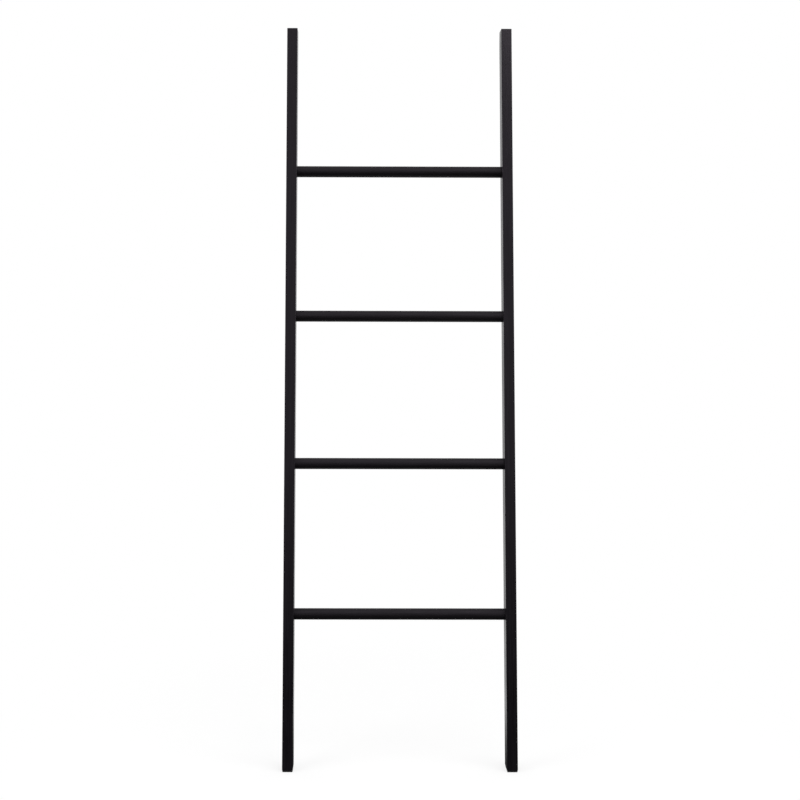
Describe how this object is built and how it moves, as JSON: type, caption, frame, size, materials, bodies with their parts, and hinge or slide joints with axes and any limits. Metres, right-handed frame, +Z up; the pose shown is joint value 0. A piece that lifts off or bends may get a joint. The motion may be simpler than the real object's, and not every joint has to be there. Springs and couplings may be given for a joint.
{
  "type": "ladder coat rack",
  "caption": "Leaning ladder coat rack with straight black wooden stiles and evenly spaced round rungs for hanging coats, towels or blankets, on rubber feet and wall pads.",
  "frame": {"origin": "on the floor, midway between the stiles, and midway between the front edge of the feet and the wall", "axes": "+X to the right seen from the front, +Y back towards the wall, +Z up; the rack is stored in its leaning position"},
  "size_m": [0.555, 0.2872, 1.7825],
  "materials": {
    "black_lacquered_wood": "satin black lacquer over fine straight grain",
    "brass": "machined",
    "zinc_plated_steel": "bright zinc plate",
    "black_plastic": "fine moulded texture",
    "black_rubber": "matte"
  },
  "bodies": {
    "root": {"left_stile": "black_lacquered_wood", "right_stile": "black_lacquered_wood", "rung_1": "black_lacquered_wood", "insert_1_left": "brass", "bolt_1_left": "zinc_plated_steel", "washer_1_left": "zinc_plated_steel", "cap_1_left": "black_plastic", "insert_1_right": "brass", "bolt_1_right": "zinc_plated_steel", "washer_1_right": "zinc_plated_steel", "cap_1_right": "black_plastic", "rung_2": "black_lacquered_wood", "insert_2_left": "brass", "bolt_2_left": "zinc_plated_steel", "washer_2_left": "zinc_plated_steel", "cap_2_left": "black_plastic", "insert_2_right": "brass", "bolt_2_right": "zinc_plated_steel", "washer_2_right": "zinc_plated_steel", "cap_2_right": "black_plastic", "rung_3": "black_lacquered_wood", "insert_3_left": "brass", "bolt_3_left": "zinc_plated_steel", "washer_3_left": "zinc_plated_steel", "cap_3_left": "black_plastic", "insert_3_right": "brass", "bolt_3_right": "zinc_plated_steel", "washer_3_right": "zinc_plated_steel", "cap_3_right": "black_plastic", "rung_4": "black_lacquered_wood", "insert_4_left": "brass", "bolt_4_left": "zinc_plated_steel", "washer_4_left": "zinc_plated_steel", "cap_4_left": "black_plastic", "insert_4_right": "brass", "bolt_4_right": "zinc_plated_steel", "washer_4_right": "zinc_plated_steel", "cap_4_right": "black_plastic", "left_foot_pad": "black_rubber", "left_foot_screw": "zinc_plated_steel", "left_wall_pad": "black_rubber", "right_foot_pad": "black_rubber", "right_foot_screw": "zinc_plated_steel", "right_wall_pad": "black_rubber"}
  },
  "joints": []
}
